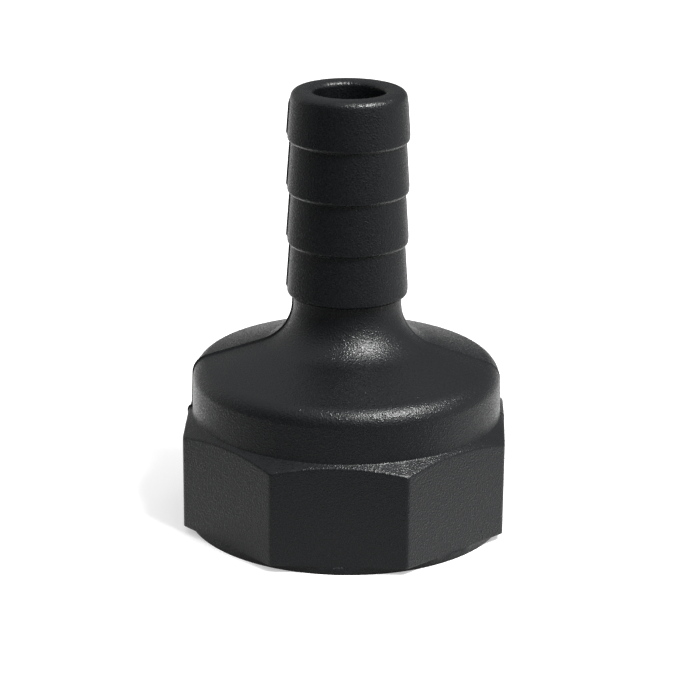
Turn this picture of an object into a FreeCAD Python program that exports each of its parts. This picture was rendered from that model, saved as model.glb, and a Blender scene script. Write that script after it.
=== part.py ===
"""Hose tail adapter for a threaded through-hull fitting, moulded in one piece.

All lengths are millimetres and all angles are degrees. The adapter stands on its open mouth:
Z runs up the axis from the rim, and one spanner flat faces -Y.
"""

import FreeCAD
import Part
import math
import os

# Thread socket and the spanner octagon around it
THREAD_RADIUS = 13.22
SOCKET_WALL = 4.78
MOUTH_BEVEL = 1.0
FLAT_COUNT = 8
CORNER_ROUNDING = 0.5
OCTAGON_TOP = 12.7
CHAMFER_ANGLE = 30.0
RIM_STAND_OUT = 0.1
RIM_HEIGHT = 0.8

# Dome above the octagon
DOME_INSET = 0.5
DOME_WALL_HEIGHT = 5.5
DOME_WALL_DRAFT = 1.5
DOME_SLOPE = 18.0
SHOULDER_ROUNDING = 2.2

# Neck and hose tail
BORE_RADIUS = 4.0
TAIL_WALL = 2.3
NECK_INSET = 0.25
NECK_FILLET = 5.1
NECK_STRAIGHT = 1.05
BARB_COUNT = 4
BARB_PITCH = 5.85
BARB_HEIGHT = 0.4
BARB_UNDERSIDE = 0.42
TIP_LENGTH = 5.65
TIP_ROUNDING = 0.5
BORE_LIP_BEVEL = 0.3

# Seat, throat and funnel between the socket and the bore
SEAT_BELOW_SHOULDER = 5.2
SEAT_WIDTH = 2.7
DOME_THICKNESS = 3.8

# Parting-line fin left by the two halves of the mould
FIN_HEIGHT = 0.18
FIN_WIDTH = 0.2

# Points of an outline that are closer than this are one point
SAME_POINT = 1e-6

# Radii that follow from the sizes above
FLAT_RADIUS = THREAD_RADIUS + SOCKET_WALL
CORNER_RADIUS = FLAT_RADIUS / math.cos(math.pi / FLAT_COUNT)
RIM_RADIUS = FLAT_RADIUS + RIM_STAND_OUT
DOME_FOOT_RADIUS = FLAT_RADIUS - DOME_INSET
DOME_TOP_RADIUS = DOME_FOOT_RADIUS - DOME_WALL_HEIGHT * math.tan(math.radians(DOME_WALL_DRAFT))
BARB_ROOT_RADIUS = BORE_RADIUS + TAIL_WALL
BARB_CREST_RADIUS = BARB_ROOT_RADIUS + BARB_HEIGHT
NECK_RADIUS = BARB_ROOT_RADIUS - NECK_INSET
THROAT_RADIUS = THREAD_RADIUS - SEAT_WIDTH

# Heights that follow from the sizes above
SHOULDER_Z = OCTAGON_TOP + DOME_WALL_HEIGHT
SOCKET_DEPTH = SHOULDER_Z - SEAT_BELOW_SHOULDER
CONE_RISE = math.tan(math.radians(DOME_SLOPE))
CONE_LIFT = 1 / math.cos(math.radians(DOME_SLOPE))
NECK_Z = SHOULDER_Z + (DOME_TOP_RADIUS - NECK_RADIUS) * CONE_RISE
FILLET_REACH = NECK_FILLET * math.tan(math.radians(90 - DOME_SLOPE) / 2)
TAIL_Z = NECK_Z + FILLET_REACH + NECK_STRAIGHT
TIP_Z = TAIL_Z + (BARB_COUNT - 1) * BARB_PITCH
TOP_Z = TIP_Z + TIP_LENGTH


def at(radius, height):
    """A point of a section through the axis."""
    return FreeCAD.Vector(radius, 0, height)


def rounded(before, corner, after, rounding):
    """Start, middle and end of the arc that rounds a corner between two straight edges."""
    to_before = (before - corner).normalize()
    to_after = (after - corner).normalize()
    half_angle = to_before.getAngle(to_after) / 2
    inward = (to_before + to_after).normalize()
    setback = rounding / math.tan(half_angle)
    middle = corner + inward * (rounding / math.sin(half_angle) - rounding)
    return [corner + to_before * setback, middle, corner + to_after * setback]


def closed_face(stops):
    """A flat face whose stops are single points or arcs of three points, joined by straight edges."""
    edges = []
    for index, stop in enumerate(stops):
        if len(stop) > 1:
            edges.append(Part.Arc(*stop).toShape())
        end = stop[-1]
        following = stops[(index + 1) % len(stops)][0]
        if end.distanceToPoint(following) > SAME_POINT:
            edges.append(Part.LineSegment(end, following).toShape())
    return Part.Face(Part.Wire(edges))


def turned(stops):
    """The solid swept by a section that turns once about the axis."""
    return closed_face(stops).revolve(FreeCAD.Vector(0, 0, 0), FreeCAD.Vector(0, 0, 1), 360)


def barb(foot_z, skin):
    """One barb: its foot, and the crest at the end of its short sloping underside."""
    foot = at(BARB_ROOT_RADIUS + skin, foot_z)
    crest = at(BARB_CREST_RADIUS + skin, foot_z + BARB_UNDERSIDE)
    return [[foot], [crest]]


def cone_z(radius):
    """Height of the dome's cone, carried on past its rounded ends."""
    return SHOULDER_Z + (DOME_TOP_RADIUS - radius) * CONE_RISE


def outside_above_octagon(skin):
    """The outside from the dome's wall to the tail's end, grown outwards by skin."""
    wall_foot = at(DOME_FOOT_RADIUS + skin, OCTAGON_TOP)
    shoulder = at(DOME_TOP_RADIUS + skin, cone_z(DOME_TOP_RADIUS + skin) + skin * CONE_LIFT)
    neck_foot = at(NECK_RADIUS + skin, cone_z(NECK_RADIUS + skin) + skin * CONE_LIFT)
    neck_top = at(NECK_RADIUS + skin, TAIL_Z)
    stops = [
        rounded(wall_foot, shoulder, neck_foot, SHOULDER_ROUNDING + skin),
        rounded(shoulder, neck_foot, neck_top, NECK_FILLET - skin),
        [neck_top],
    ]
    for number in range(BARB_COUNT):
        stops += barb(TAIL_Z + number * BARB_PITCH, skin)
    return stops


def tip(skin, height, rounding):
    """The last barb's taper, ended by a rounded edge and a flat top."""
    crest = barb(TIP_Z, skin)[-1][0]
    edge = at(BARB_ROOT_RADIUS + skin, height)
    middle = at(0, height)
    return [rounded(crest, edge, middle, rounding), [middle]]


def outer_body():
    """The round outside, solid to the axis: rim, core of the octagon, dome and tail."""
    rim = [[at(0, 0)], [at(RIM_RADIUS, 0)], [at(RIM_RADIUS, RIM_HEIGHT)]]
    core = [[at(DOME_FOOT_RADIUS, RIM_HEIGHT)], [at(DOME_FOOT_RADIUS, OCTAGON_TOP)]]
    return turned(rim + core + outside_above_octagon(0.0) + tip(0.0, TOP_Z, TIP_ROUNDING))


def chamfer_z(radius):
    """Height of the conical chamfer that cuts the octagon's upper corners."""
    return OCTAGON_TOP - (radius - DOME_FOOT_RADIUS) * math.tan(math.radians(CHAMFER_ANGLE))


def octagon():
    """Spanner flats with rounded corners, and a conical chamfer down from the dome's foot."""
    step = 2 * math.pi / FLAT_COUNT
    front = -math.pi / 2
    corners = []
    for number in range(FLAT_COUNT):
        angle = front + (number + 0.5) * step
        across = FreeCAD.Vector(math.cos(angle), math.sin(angle), 0) * CORNER_RADIUS
        corners.append(across + at(0, RIM_HEIGHT))
    stops = []
    for number, corner in enumerate(corners):
        following = corners[(number + 1) % FLAT_COUNT]
        stops.append(rounded(corners[number - 1], corner, following, CORNER_ROUNDING))
    prism = closed_face(stops).extrude(at(0, OCTAGON_TOP - RIM_HEIGHT))
    envelope = turned([
        [at(0, RIM_HEIGHT)],
        [at(CORNER_RADIUS, RIM_HEIGHT)],
        [at(CORNER_RADIUS, chamfer_z(CORNER_RADIUS))],
        [at(DOME_FOOT_RADIUS, OCTAGON_TOP)],
        [at(0, OCTAGON_TOP)],
    ])
    return prism.common(envelope)


def parting_fin():
    """A thin fin in the XZ plane that follows the outside on both sides, up to the tip's rounding."""
    lift = FIN_HEIGHT / math.cos(math.radians(CHAMFER_ANGLE))
    flat = FLAT_RADIUS + FIN_HEIGHT
    dome_foot = DOME_FOOT_RADIUS + FIN_HEIGHT
    mouth = [[at(0, 0)], [at(flat, 0)]]
    chamfer = [[at(flat, chamfer_z(flat) + lift)], [at(dome_foot, chamfer_z(dome_foot) + lift)]]
    end = tip(FIN_HEIGHT, TOP_Z - TIP_ROUNDING / 2, FIN_HEIGHT)
    half = closed_face(mouth + chamfer + outside_above_octagon(FIN_HEIGHT) + end)
    half.translate(FreeCAD.Vector(0, -FIN_WIDTH / 2, 0))
    right = half.extrude(FreeCAD.Vector(0, FIN_WIDTH, 0))
    left = right.mirror(FreeCAD.Vector(0, 0, 0), FreeCAD.Vector(1, 0, 0))
    return right.fuse(left)


def cavity():
    """The space inside: bevelled mouth, thread socket, seat, throat, funnel and tail bore."""
    dome_wall = DOME_THICKNESS * CONE_LIFT
    lip = at(BORE_RADIUS + BORE_LIP_BEVEL, TOP_Z)
    beyond = at(0, 1)
    return turned([
        [at(0, 0)],
        [at(THREAD_RADIUS + MOUTH_BEVEL, 0)],
        [at(THREAD_RADIUS, MOUTH_BEVEL)],
        [at(THREAD_RADIUS, SOCKET_DEPTH)],
        [at(THROAT_RADIUS, SOCKET_DEPTH)],
        [at(THROAT_RADIUS, cone_z(THROAT_RADIUS) - dome_wall)],
        [at(BORE_RADIUS, cone_z(BORE_RADIUS) - dome_wall)],
        [at(BORE_RADIUS, TOP_Z - BORE_LIP_BEVEL)],
        [lip],
        [lip + beyond],
        [at(0, TOP_Z) + beyond],
    ])


def adapter():
    """The whole adapter as the single solid that it is moulded as."""
    outside = outer_body().fuse([octagon(), parting_fin()])
    return outside.cut(cavity()).removeSplitter()


os.makedirs("parts", exist_ok=True)
shape = adapter()
shape.exportStep("parts/hose_tail_adapter.step")
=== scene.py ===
"""Looks of the hose tail adapter: its matt black nylon, the socket's thread, camera, light and floor.

All lengths are metres. The adapter stands on its open mouth at the origin, with Z up its axis.
"""

import math
import random
from collections import namedtuple

import bmesh
import bpy
from mathutils import Matrix, Vector


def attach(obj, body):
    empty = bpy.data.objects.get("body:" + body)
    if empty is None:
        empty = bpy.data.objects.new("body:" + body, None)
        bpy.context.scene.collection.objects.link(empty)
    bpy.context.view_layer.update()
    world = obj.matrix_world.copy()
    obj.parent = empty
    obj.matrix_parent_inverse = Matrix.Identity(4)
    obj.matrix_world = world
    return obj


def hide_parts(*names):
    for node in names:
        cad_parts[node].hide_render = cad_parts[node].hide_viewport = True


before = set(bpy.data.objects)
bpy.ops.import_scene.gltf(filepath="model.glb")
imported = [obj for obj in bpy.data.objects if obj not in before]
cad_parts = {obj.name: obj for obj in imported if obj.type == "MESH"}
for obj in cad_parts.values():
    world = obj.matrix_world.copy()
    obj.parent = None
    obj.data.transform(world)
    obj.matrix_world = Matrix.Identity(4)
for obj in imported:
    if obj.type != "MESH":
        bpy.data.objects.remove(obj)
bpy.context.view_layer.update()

# Octagon and rim
FLAT_RADIUS = 0.018
FLAT_COUNT = 8
CORNER_ROUNDING = 0.0007
RIM_RADIUS = 0.0181
RIM_HEIGHT = 0.00075
LEDGE_HEIGHT = 0.0001
OCTAGON_TOP = 0.0127
CHAMFER_SLOPE = math.tan(math.radians(30))
CHAMFER_EDGE_ROUNDING = 0.0004

# Dome and neck; the shoulder and the neck's foot are (radius, height) before they are rounded
DOME_FOOT_RADIUS = 0.0175
SHOULDER = (0.017356, 0.0182)
SHOULDER_ROUNDING = 0.0022
NECK_RADIUS = 0.00605
NECK_FOOT = (NECK_RADIUS, 0.021874)
NECK_FILLET = 0.0051

# Barbed tail
TAIL_Z = 0.026634
BARB_COUNT = 4
BARB_PITCH = 0.00585
BARB_ROOT_RADIUS = 0.00638
BARB_CREST_RADIUS = 0.0068
BARB_TAPER = (BARB_CREST_RADIUS - BARB_ROOT_RADIUS) / BARB_PITCH
CREST_ROUNDING = 0.00038
TIP_LENGTH = 0.00565
TIP_ROUNDING = 0.0008
TOP_Z = TAIL_Z + (BARB_COUNT - 1) * BARB_PITCH + TIP_LENGTH

# Inside, from the bore down to the mouth
BORE_RADIUS = 0.004
LIP_ROUNDING = 0.0006
LIP_RAGGEDNESS = 0.00003
LIP_SEED = 5
FUNNEL_Z = 0.018544
THROAT_RADIUS = 0.01052
THROAT_Z = 0.016424
SOCKET_RADIUS = 0.01322
SEAT_Z = 0.013
MOUTH_BEVEL = 0.001

# Parting-line fin; the right-hand one is lower
FIN_HEIGHT = 0.00018
RIGHT_FIN_SHARE = 0.22
FIN_HALF_WIDTH = 0.0001
FIN_SLOPE_WIDTH = 0.00003
FIN_BELOW_CREST = 0.0004
FIN_ABOVE_CREST = 0.0008
FIN_TOP_Z = TOP_Z - 2 * TIP_ROUNDING
RIM_FIN_SHARE = (FLAT_RADIUS + FIN_HEIGHT - RIM_RADIUS) / FIN_HEIGHT

# Thread on the socket's wall: 3/4 inch pipe thread, 14 turns an inch
THREAD_DEPTH = 0.00116
THREAD_PITCH = 0.0254 / 14
THREAD_START_Z = 0.0011
THREAD_END_Z = 0.0124
THREAD_SUNK = 0.00003
THREAD_STEPS_A_TURN = 96
THREAD_RUN_OUT = math.radians(70)

# Half of the thread's ridge: its foot, then (share of the depth, share of the pitch) to its crest
RIDGE_FOOT = 0.46 * THREAD_PITCH
RIDGE_OUTLINE = ((0.08, 0.3956), (0.9, 0.125), (1.0, 0.05))

# Fineness of the turned mesh: its columns, with five in each of the octagon's rounded corners
COLUMN_COUNT = 240
CORNER_PARTS = (-0.95, -0.5, 0.0, 0.5, 0.95)
SHARP_FROM = math.radians(40)

# Pieces in each arc of its section, and the slight rounding of its lesser corners
SMALL_ROUNDING = 0.00012
CHAMFER_PIECES = 4
SHOULDER_PIECES = 16
FILLET_PIECES = 20
CREST_PIECES = 8
TIP_PIECES = 8
LIP_PIECES = 6
SMALL_PIECES_OUTSIDE = 3
SMALL_PIECES_INSIDE = 2

# Nylon's surface; the two roughnesses are those of the grain's hollows and of its peaks
BASE_COLOUR = (0.0031, 0.0038, 0.0048)
NYLON_IOR = 1.5
ROUGHNESS = (0.46, 0.22)
GRAIN_RANGE = (0.3, 0.7)
GRAIN_SCALE = 5270.0
GRAIN_DETAIL = 1.0
GRAIN_DEPTH = 0.00007
GRAIN_SHARPNESS = 2.7
MOTTLING_SCALE = 900.0
MOTTLING_DETAIL = 3.0
MOTTLING_DEPTH = 0.00001
EDGE_SOFTNESS = 0.0002
EDGE_SAMPLES = 6

# Camera, as the photograph was taken
CAMERA_AZIMUTH = math.radians(2.12)
CAMERA_ELEVATION = math.radians(19.12)
CAMERA_ROLL = math.radians(0.55)
CAMERA_DISTANCE = 0.2839
CAMERA_LENS = 129.0
CAMERA_SENSOR = 36.0
CAMERA_NEAR = 0.01
AIM = Vector((0.00036, 0.0, 0.01972))

# Light that reflections find round the object: (degrees from -Y towards +X, level) pairs
WALL_LEVELS = (
    (-180, 1.3), (-165, 1.3), (-150, 1.05), (-135, 0.5), (-120, 0.28), (-105, 0.14), (-85, 0.13),
    (-60, 0.0), (60, 0.0), (85, 0.42), (115, 0.52), (135, 0.42), (150, 0.75), (165, 1.1), (180, 1.3),
)
SKY_LEVELS = (
    (-180, 0.12), (-120, 0.6), (-60, 0.05), (0, 0.15), (60, 0.75), (120, 0.35), (180, 0.12),
)
TOP_LEVEL = 0.48
UNDER_GAIN = 3.0

# Heights, as the sine of the elevation, between which one band of that light turns into the next
UNDER_START = (-0.4, -0.75)
SKY_START = (-0.22, 0.12)
TOP_START = (0.5, 0.75)

# Light that falls on the object
WORLD_STRENGTH = 0.8
KEY_AZIMUTH = math.radians(53)
KEY_ELEVATION = math.radians(55)
KEY_DISTANCE = 0.7
KEY_SIZE = 0.22
KEY_POWER = 6.9

# Floor; the lift is extra light that only the camera sees, so that the floor looks white
FLOOR_SIZE = 6.0
FLOOR_COLOUR = 0.8
FLOOR_LIFT = 0.4

# Floor close to the object, as reflections see it: a disc of painted light with a dim patch of
# painted contact shadow, set a little to the left, away from the key light
NEAR_FLOOR_START = 0.045
NEAR_FLOOR_END = 0.085
NEAR_FLOOR_HEIGHT = 0.00002
NEAR_FLOOR_LEVEL = 0.45
CONTACT_CENTRE = (-0.0008, -0.0002, 0.0)
CONTACT_EDGE = (0.0182, 0.0192)
CONTACT_LEVEL = 0.28

WHITE = (1, 1, 1, 1)


def aim_at(thing, point, roll=0.0):
    """Turns an object so that its -Z looks at a point, with a roll about that line."""
    look = (point - thing.location).to_track_quat("-Z", "Y").to_matrix()
    turned = look @ Matrix.Rotation(roll, 3, "Z")
    thing.rotation_euler = turned.to_euler()


def direction(azimuth, elevation):
    """Unit vector from the object, with azimuth 0 towards -Y and 90 degrees towards +X."""
    level = math.cos(elevation)
    return Vector((math.sin(azimuth) * level, -math.cos(azimuth) * level, math.sin(elevation)))


def add_object(name, data):
    """A new object in the scene for this data."""
    thing = bpy.data.objects.new(name, data)
    bpy.context.scene.collection.objects.link(thing)
    return thing


def place_camera():
    """The photograph's camera."""
    data = bpy.data.cameras.new("camera")
    data.lens = CAMERA_LENS
    data.sensor_width = CAMERA_SENSOR
    data.clip_start = CAMERA_NEAR
    camera = add_object("camera", data)
    camera.location = AIM + direction(CAMERA_AZIMUTH, CAMERA_ELEVATION) * CAMERA_DISTANCE
    aim_at(camera, AIM, CAMERA_ROLL)
    bpy.context.scene.camera = camera


class Nodes:
    """A short way to add and link shader nodes in one tree."""

    def __init__(self, tree):
        self.tree = tree
        tree.nodes.clear()

    def add(self, kind, **values):
        """A node with its properties and inputs set by name, or an input by number, as in _2.

        An input that is given a socket is linked to it.
        """
        node = self.tree.nodes.new("ShaderNode" + kind)
        for name, value in values.items():
            if hasattr(node, name):
                setattr(node, name, value)
                continue
            number = name[1:]
            socket = node.inputs[int(number) if number.isdigit() else name.replace("_", " ")]
            if isinstance(value, bpy.types.NodeSocket):
                self.tree.links.new(value, socket)
            else:
                socket.default_value = value
        return node

    def smooth(self, value, limits, start=0.0, end=1.0):
        """A smooth step from start to end while a value goes from one limit to the other."""
        step = self.add("MapRange", interpolation_type="SMOOTHSTEP", Value=value,
                        From_Min=limits[0], From_Max=limits[1], To_Min=start, To_Max=end)
        return step.outputs[0]

    def bearing_ramp(self, bearing, stops):
        """Level by bearing, from (degrees, level) pairs round a full circle."""
        turn = self.add("MapRange", Value=bearing, From_Min=-math.pi, From_Max=math.pi)
        levels = self.add("ValToRGB", Fac=turn.outputs[0])
        ramp = levels.color_ramp
        for degrees, level in stops:
            place = (degrees + 180) / 360
            if 0 < place < 1:
                stop = ramp.elements.new(place)
            else:
                stop = ramp.elements[0 if place == 0 else -1]
            stop.color = (level, level, level, 1)
        return levels.outputs[0]


def make_world():
    """White background. Reflections see it pale behind the object and dark behind the camera."""
    world = bpy.data.worlds.new("studio")
    world.use_nodes = True
    nodes = Nodes(world.node_tree)
    way = nodes.add("SeparateXYZ", Vector=nodes.add("TexCoord").outputs["Generated"])
    rise = way.outputs["Z"]
    forward = nodes.add("Math", operation="MULTIPLY", _0=way.outputs["Y"], _1=-1.0)
    bearing = nodes.add("Math", operation="ARCTAN2", _0=way.outputs["X"], _1=forward.outputs[0])
    walls = nodes.bearing_ramp(bearing.outputs[0], WALL_LEVELS)
    sky = nodes.bearing_ramp(bearing.outputs[0], SKY_LEVELS)
    under = nodes.smooth(rise, UNDER_START, 1.0, UNDER_GAIN)
    walls_and_table = nodes.add("Math", operation="MULTIPLY", _0=walls, _1=under)
    low = nodes.add("Mix", data_type="FLOAT", _0=nodes.smooth(rise, SKY_START),
                    _2=walls_and_table.outputs[0], _3=sky)
    level = nodes.add("Mix", data_type="FLOAT", _0=nodes.smooth(rise, TOP_START),
                      _2=low.outputs[0], _3=TOP_LEVEL)
    path = nodes.add("LightPath")
    lit = nodes.add("Background", Color=WHITE, Strength=WORLD_STRENGTH)
    mirrored = nodes.add("Background", Color=WHITE, Strength=level.outputs[0])
    seen = nodes.add("Background", Color=WHITE, Strength=1.0)
    unseen = nodes.add("MixShader", _0=path.outputs["Is Glossy Ray"], _1=lit.outputs[0],
                       _2=mirrored.outputs[0])
    background = nodes.add("MixShader", _0=path.outputs["Is Camera Ray"], _1=unseen.outputs[0],
                           _2=seen.outputs[0])
    nodes.add("OutputWorld", Surface=background.outputs[0])
    bpy.context.scene.world = world


def level_square(name, size, height, material_name):
    """A level square centred on the axis, with a new material and that material's nodes."""
    half = size / 2
    corners = [(-half, -half), (half, -half), (half, half), (-half, half)]
    mesh = bpy.data.meshes.new(name)
    mesh.from_pydata([(x, y, height) for x, y in corners], [], [(0, 1, 2, 3)])
    material = bpy.data.materials.new(material_name)
    material.use_nodes = True
    mesh.materials.append(material)
    return add_object(name, mesh), Nodes(material.node_tree)


def make_floor():
    """A plain white floor that keeps the object's soft shadow."""
    floor, nodes = level_square("floor", FLOOR_SIZE, 0, "floor_white")
    paint = nodes.add("BsdfDiffuse", Color=(FLOOR_COLOUR, FLOOR_COLOUR, FLOOR_COLOUR, 1))
    path = nodes.add("LightPath")
    lift = nodes.add("Emission", Color=WHITE, Strength=FLOOR_LIFT)
    both = nodes.add("AddShader", _0=paint.outputs[0], _1=lift.outputs[0])
    mix = nodes.add("MixShader", _0=path.outputs["Is Camera Ray"], _1=paint.outputs[0],
                    _2=both.outputs[0])
    nodes.add("OutputMaterial", Surface=mix.outputs[0])
    floor.visible_glossy = False


def make_near_floor():
    """The bright floor close to the object, painted as glowing light that only reflections see; it
    fades with distance, and a dim patch of painted contact shadow lies round the object's foot.
    """
    glow_plane, nodes = level_square("near_floor", 2 * NEAR_FLOOR_END, NEAR_FLOOR_HEIGHT,
                                     "near_floor_glow")
    place = nodes.add("TexCoord").outputs["Object"]
    distance = nodes.add("VectorMath", operation="LENGTH", _0=place).outputs["Value"]
    # painted light: the disc's glow stands in for the lit floor near the object
    glow = nodes.smooth(distance, (NEAR_FLOOR_START, NEAR_FLOOR_END), NEAR_FLOOR_LEVEL, 0.0)
    lit = nodes.add("Emission", Color=WHITE, Strength=glow)
    both = nodes.add("AddShader", _0=lit.outputs[0], _1=nodes.add("BsdfTransparent").outputs[0])
    # painted contact shadow: a dim glow round the object's foot, set a little to the left
    from_contact = nodes.add("VectorMath", operation="DISTANCE", _0=place, _1=CONTACT_CENTRE)
    clear = nodes.smooth(from_contact.outputs["Value"], CONTACT_EDGE)
    shaded = nodes.add("Emission", Color=WHITE, Strength=CONTACT_LEVEL)
    seen = nodes.add("MixShader", _0=clear, _1=shaded.outputs[0], _2=both.outputs[0])
    nodes.add("OutputMaterial", Surface=seen.outputs[0])
    glow_plane.visible_camera = False
    glow_plane.visible_diffuse = False
    glow_plane.visible_shadow = False


def make_key_light():
    """One soft lamp, high on the right."""
    data = bpy.data.lights.new("key", "AREA")
    data.shape = "DISK"
    data.size = KEY_SIZE
    data.energy = KEY_POWER
    lamp = add_object("key", data)
    lamp.location = AIM + direction(KEY_AZIMUTH, KEY_ELEVATION) * KEY_DISTANCE
    aim_at(lamp, AIM)


def black_nylon():
    """Matt black glass-filled nylon: fine grain that glints in the highlights, and faint mottling."""
    material = bpy.data.materials.new("black_nylon")
    material.use_nodes = True
    nodes = Nodes(material.node_tree)
    place = nodes.add("TexCoord").outputs["Object"]
    grain = nodes.add("TexNoise", Vector=place, Scale=GRAIN_SCALE, Detail=GRAIN_DETAIL)
    peaks = nodes.add("Math", operation="POWER", _0=grain.outputs[0], _1=GRAIN_SHARPNESS)
    mottling = nodes.add("TexNoise", Vector=place, Scale=MOTTLING_SCALE, Detail=MOTTLING_DETAIL)
    rough = nodes.add("MapRange", Value=grain.outputs[0], From_Min=GRAIN_RANGE[0],
                      From_Max=GRAIN_RANGE[1], To_Min=ROUGHNESS[0], To_Max=ROUGHNESS[1])
    soft_edge = nodes.add("Bevel", samples=EDGE_SAMPLES, Radius=EDGE_SOFTNESS)
    low = nodes.add("Bump", Strength=1.0, Distance=MOTTLING_DEPTH, Height=mottling.outputs[0],
                    Normal=soft_edge.outputs[0])
    fine = nodes.add("Bump", Strength=1.0, Distance=GRAIN_DEPTH, Height=peaks.outputs[0],
                     Normal=low.outputs[0])
    shader = nodes.add("BsdfPrincipled", Base_Color=(*BASE_COLOUR, 1), Roughness=rough.outputs[0],
                       IOR=NYLON_IOR, Normal=fine.outputs[0])
    nodes.add("OutputMaterial", Surface=shader.outputs[0])
    return material


def mesh_object(name, shape, material):
    """An object with this name for a finished shape, its faces turned outwards and smooth."""
    bmesh.ops.recalc_face_normals(shape, faces=shape.faces)
    mesh = bpy.data.meshes.new(name)
    shape.to_mesh(mesh)
    shape.free()
    mesh.shade_smooth()
    mesh.materials.append(material)
    return add_object(name, mesh)


def join_loops(shape, before, after):
    """A band of four-sided faces between two closed loops of as many corners."""
    for index in range(len(before)):
        following = (index + 1) % len(before)
        shape.faces.new((before[index], after[index], after[following], before[following]))


def ridge_section(raised):
    """The ridge across its run, raised by a share of its depth: (inward, along the axis) pairs."""
    lower = [(-THREAD_SUNK, RIDGE_FOOT)]
    for depth_share, pitch_share in RIDGE_OUTLINE:
        lower.append((THREAD_DEPTH * raised * depth_share, THREAD_PITCH * pitch_share))
    return [(inward, -along) for inward, along in lower] + lower[::-1]


def make_thread(material):
    """The right-hand thread's ridge, wound up the socket's wall and fading out at both ends."""
    rise = THREAD_END_Z - THREAD_START_Z - 2 * RIDGE_FOOT
    whole = 2 * math.pi * rise / THREAD_PITCH
    steps = round(THREAD_STEPS_A_TURN * whole / (2 * math.pi))
    shape = bmesh.new()
    rings = []
    for step in range(steps + 1):
        angle = whole * step / steps
        fade = min(1.0, angle / THREAD_RUN_OUT, (whole - angle) / THREAD_RUN_OUT)
        height = THREAD_START_Z + RIDGE_FOOT + rise * step / steps
        ring = []
        for inward, along in ridge_section(math.sin(fade * math.pi / 2)):
            radius = SOCKET_RADIUS - inward
            place = (radius * math.cos(angle), radius * math.sin(angle), height + along)
            ring.append(shape.verts.new(place))
        rings.append(ring)
    for before, after in zip(rings, rings[1:]):
        join_loops(shape, before, after)
    shape.faces.new(rings[0])
    shape.faces.new(rings[-1])
    thread = mesh_object("socket_thread", shape, material)
    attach(thread, "root")


def rounded(before, corner, after, rounding, pieces):
    """Points of the arc that rounds a corner of the section."""
    to_before = (before - corner).normalized()
    to_after = (after - corner).normalized()
    half_angle = to_before.angle(to_after) / 2
    inward = (to_before + to_after).normalized()
    centre = corner + inward * (rounding / math.sin(half_angle))
    start = corner + to_before * (rounding / math.tan(half_angle)) - centre
    end = corner + to_after * (rounding / math.tan(half_angle)) - centre
    turn = start.angle(end)
    points = []
    for piece in range(pieces + 1):
        part = piece / pieces
        start_share = math.sin((1 - part) * turn) / math.sin(turn)
        end_share = math.sin(part * turn) / math.sin(turn)
        points.append(centre + start * start_share + end * end_share)
    return points


# A corner of the section: its place, the radius and pieces of its arc, and its share of the fin
Stop = namedtuple("Stop", "radius height rounding pieces fin", defaults=(0.0, 0, 0))


def base_stops(side_radius):
    """Corners of the rim, the octagon's side, the dome and the neck, from the bottom up."""
    chamfer_foot_z = OCTAGON_TOP - (side_radius - DOME_FOOT_RADIUS) * CHAMFER_SLOPE
    return [
        Stop(RIM_RADIUS, 0.0, fin=RIM_FIN_SHARE),
        Stop(RIM_RADIUS, RIM_HEIGHT, fin=RIM_FIN_SHARE),
        Stop(side_radius, RIM_HEIGHT + LEDGE_HEIGHT, fin=1),
        Stop(side_radius, chamfer_foot_z, CHAMFER_EDGE_ROUNDING, CHAMFER_PIECES, fin=1),
        Stop(DOME_FOOT_RADIUS, OCTAGON_TOP, SMALL_ROUNDING, SMALL_PIECES_OUTSIDE, fin=1),
        Stop(*SHOULDER, SHOULDER_ROUNDING, SHOULDER_PIECES, fin=1),
        Stop(*NECK_FOOT, NECK_FILLET, FILLET_PIECES, fin=1),
        Stop(NECK_RADIUS, TAIL_Z - FIN_BELOW_CREST, fin=1),
        Stop(NECK_RADIUS, TAIL_Z, SMALL_ROUNDING, SMALL_PIECES_OUTSIDE),
    ]


def tail_stops():
    """Corners of the barbs and the tip, with the fin on each barb's taper."""
    stops = []
    for number in range(BARB_COUNT):
        foot_z = TAIL_Z + number * BARB_PITCH
        if number:
            stops.append(Stop(BARB_ROOT_RADIUS, foot_z))
        stops.append(Stop(BARB_CREST_RADIUS, foot_z, CREST_ROUNDING, CREST_PIECES))
        fin_end_z = min(foot_z + BARB_PITCH - FIN_BELOW_CREST, FIN_TOP_Z)
        for height in (foot_z + FIN_ABOVE_CREST, fin_end_z):
            stops.append(Stop(BARB_CREST_RADIUS - BARB_TAPER * (height - foot_z), height, fin=1))
    stops.append(Stop(BARB_ROOT_RADIUS, TOP_Z, TIP_ROUNDING, TIP_PIECES))
    return stops


def inside_stops(lip_shift):
    """Corners of the bore's lip, the funnel, throat, seat, socket and mouth, from the top down."""
    corners = [
        (BORE_RADIUS, FUNNEL_Z),
        (THROAT_RADIUS, THROAT_Z),
        (THROAT_RADIUS, SEAT_Z),
        (SOCKET_RADIUS, SEAT_Z),
        (SOCKET_RADIUS, MOUTH_BEVEL),
        (SOCKET_RADIUS + MOUTH_BEVEL, 0.0),
    ]
    stops = [Stop(BORE_RADIUS + lip_shift, TOP_Z, LIP_ROUNDING, LIP_PIECES)]
    for corner in corners:
        stops.append(Stop(*corner, SMALL_ROUNDING, SMALL_PIECES_INSIDE))
    return stops


def section(side_radius, lip_shift):
    """The closed section in one direction: (point, share of the fin's height) pairs.

    The octagon's side lies at side_radius there. The bore's lip is a little ragged, so lip_shift
    differs from one direction to the next.
    """
    stops = base_stops(side_radius) + tail_stops() + inside_stops(lip_shift)
    corners = [Vector((stop.radius, stop.height)) for stop in stops]
    points = []
    for index, stop in enumerate(stops):
        if stop.rounding:
            following = corners[(index + 1) % len(corners)]
            arc = rounded(corners[index - 1], corners[index], following, stop.rounding, stop.pieces)
            points += [(place, stop.fin) for place in arc]
        else:
            points.append((corners[index], stop.fin))
    return points


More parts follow.
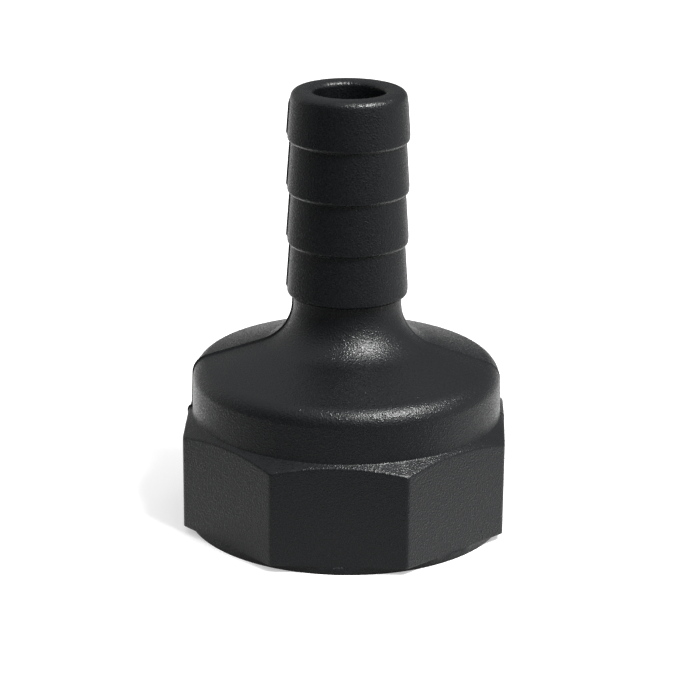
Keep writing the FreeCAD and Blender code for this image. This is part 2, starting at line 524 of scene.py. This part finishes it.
def octagon_radius(angle):
    """Distance from the axis to the octagon's side in a direction, with its corners rounded."""
    step = 2 * math.pi / FLAT_COUNT
    from_flat = (angle + step / 2) % step - step / 2
    from_corner = step / 2 - abs(from_flat)
    centre = (FLAT_RADIUS - CORNER_ROUNDING) / math.cos(step / 2)
    across = centre * math.sin(from_corner)
    if across > CORNER_ROUNDING * math.sin(step / 2):
        return FLAT_RADIUS / math.cos(from_flat)
    return centre * math.cos(from_corner) + math.sqrt(CORNER_ROUNDING**2 - across**2)


def fin_columns(angle, side, height_share):
    """The four columns that make the fin on one side: foot, crest, crest and foot."""
    foot = FIN_HALF_WIDTH + FIN_SLOPE_WIDTH
    crest = FIN_HALF_WIDTH - FIN_SLOPE_WIDTH
    shares = ((-foot, 0), (-crest, height_share), (crest, height_share), (foot, 0))
    return [(angle, across * side, share) for across, share in shares]


def column_places():
    """Each mesh column's direction, its sideways place beside the fin and its share of the fin."""
    step = 2 * math.pi / COLUMN_COUNT
    corner_step = 2 * math.pi / FLAT_COUNT
    turn_in = CORNER_ROUNDING * math.sin(corner_step / 2) / FLAT_RADIUS
    places = []
    for number in range(COLUMN_COUNT):
        angle = number * step
        at_corner = abs(angle % corner_step - corner_step / 2) < step / 4
        if number == 0:
            places += fin_columns(angle, 1, RIGHT_FIN_SHARE)
        elif number == COLUMN_COUNT // 2:
            places += fin_columns(angle, -1, 1)
        elif at_corner:
            places += [(angle + turn_in * part, 0.0, 0) for part in CORNER_PARTS]
        else:
            places.append((angle, 0.0, 0))
    return places


def outward(points, index):
    """Direction square to the section at one of its points, and level at the foot of the rim."""
    if index == 0:
        return Vector((1.0, 0.0))
    along = points[(index + 1) % len(points)][0] - points[index - 1][0]
    return Vector((along.y, -along.x)).normalized()


def column_corners(angle, across, fin, lip_shift):
    """Corners of one mesh column, all round the section."""
    points = section(octagon_radius(angle), lip_shift)
    corners = []
    for index, (place, share) in enumerate(points):
        radius, height = place
        if fin and share:
            out = outward(points, index)
            radius += out.x * FIN_HEIGHT * share * fin
            height += out.y * FIN_HEIGHT * share * fin
        if across:
            level = math.copysign(math.sqrt(radius**2 - across**2), math.cos(angle))
            corners.append((level, across, height))
        else:
            corners.append((radius * math.cos(angle), radius * math.sin(angle), height))
    return corners


def make_adapter(material):
    """The whole adapter as one closed mesh, the section set round its columns."""
    shape = bmesh.new()
    chance = random.Random(LIP_SEED)
    columns = []
    for angle, across, fin in column_places():
        lip_shift = chance.uniform(-LIP_RAGGEDNESS, LIP_RAGGEDNESS)
        corners = column_corners(angle, across, fin, lip_shift)
        columns.append([shape.verts.new(corner) for corner in corners])
    for before, after in zip(columns, columns[1:] + columns[:1]):
        join_loops(shape, before, after)
    adapter = mesh_object("adapter", shape, material)
    adapter.data.set_sharp_from_angle(angle=SHARP_FROM)
    weighted = adapter.modifiers.new("even_shading", "WEIGHTED_NORMAL")
    weighted.keep_sharp = True
    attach(adapter, "root")
    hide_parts("hose_tail_adapter")


nylon = black_nylon()
make_adapter(nylon)
make_thread(nylon)
make_world()
make_floor()
make_near_floor()
make_key_light()
place_camera()
bpy.context.scene.view_settings.view_transform = "Standard"
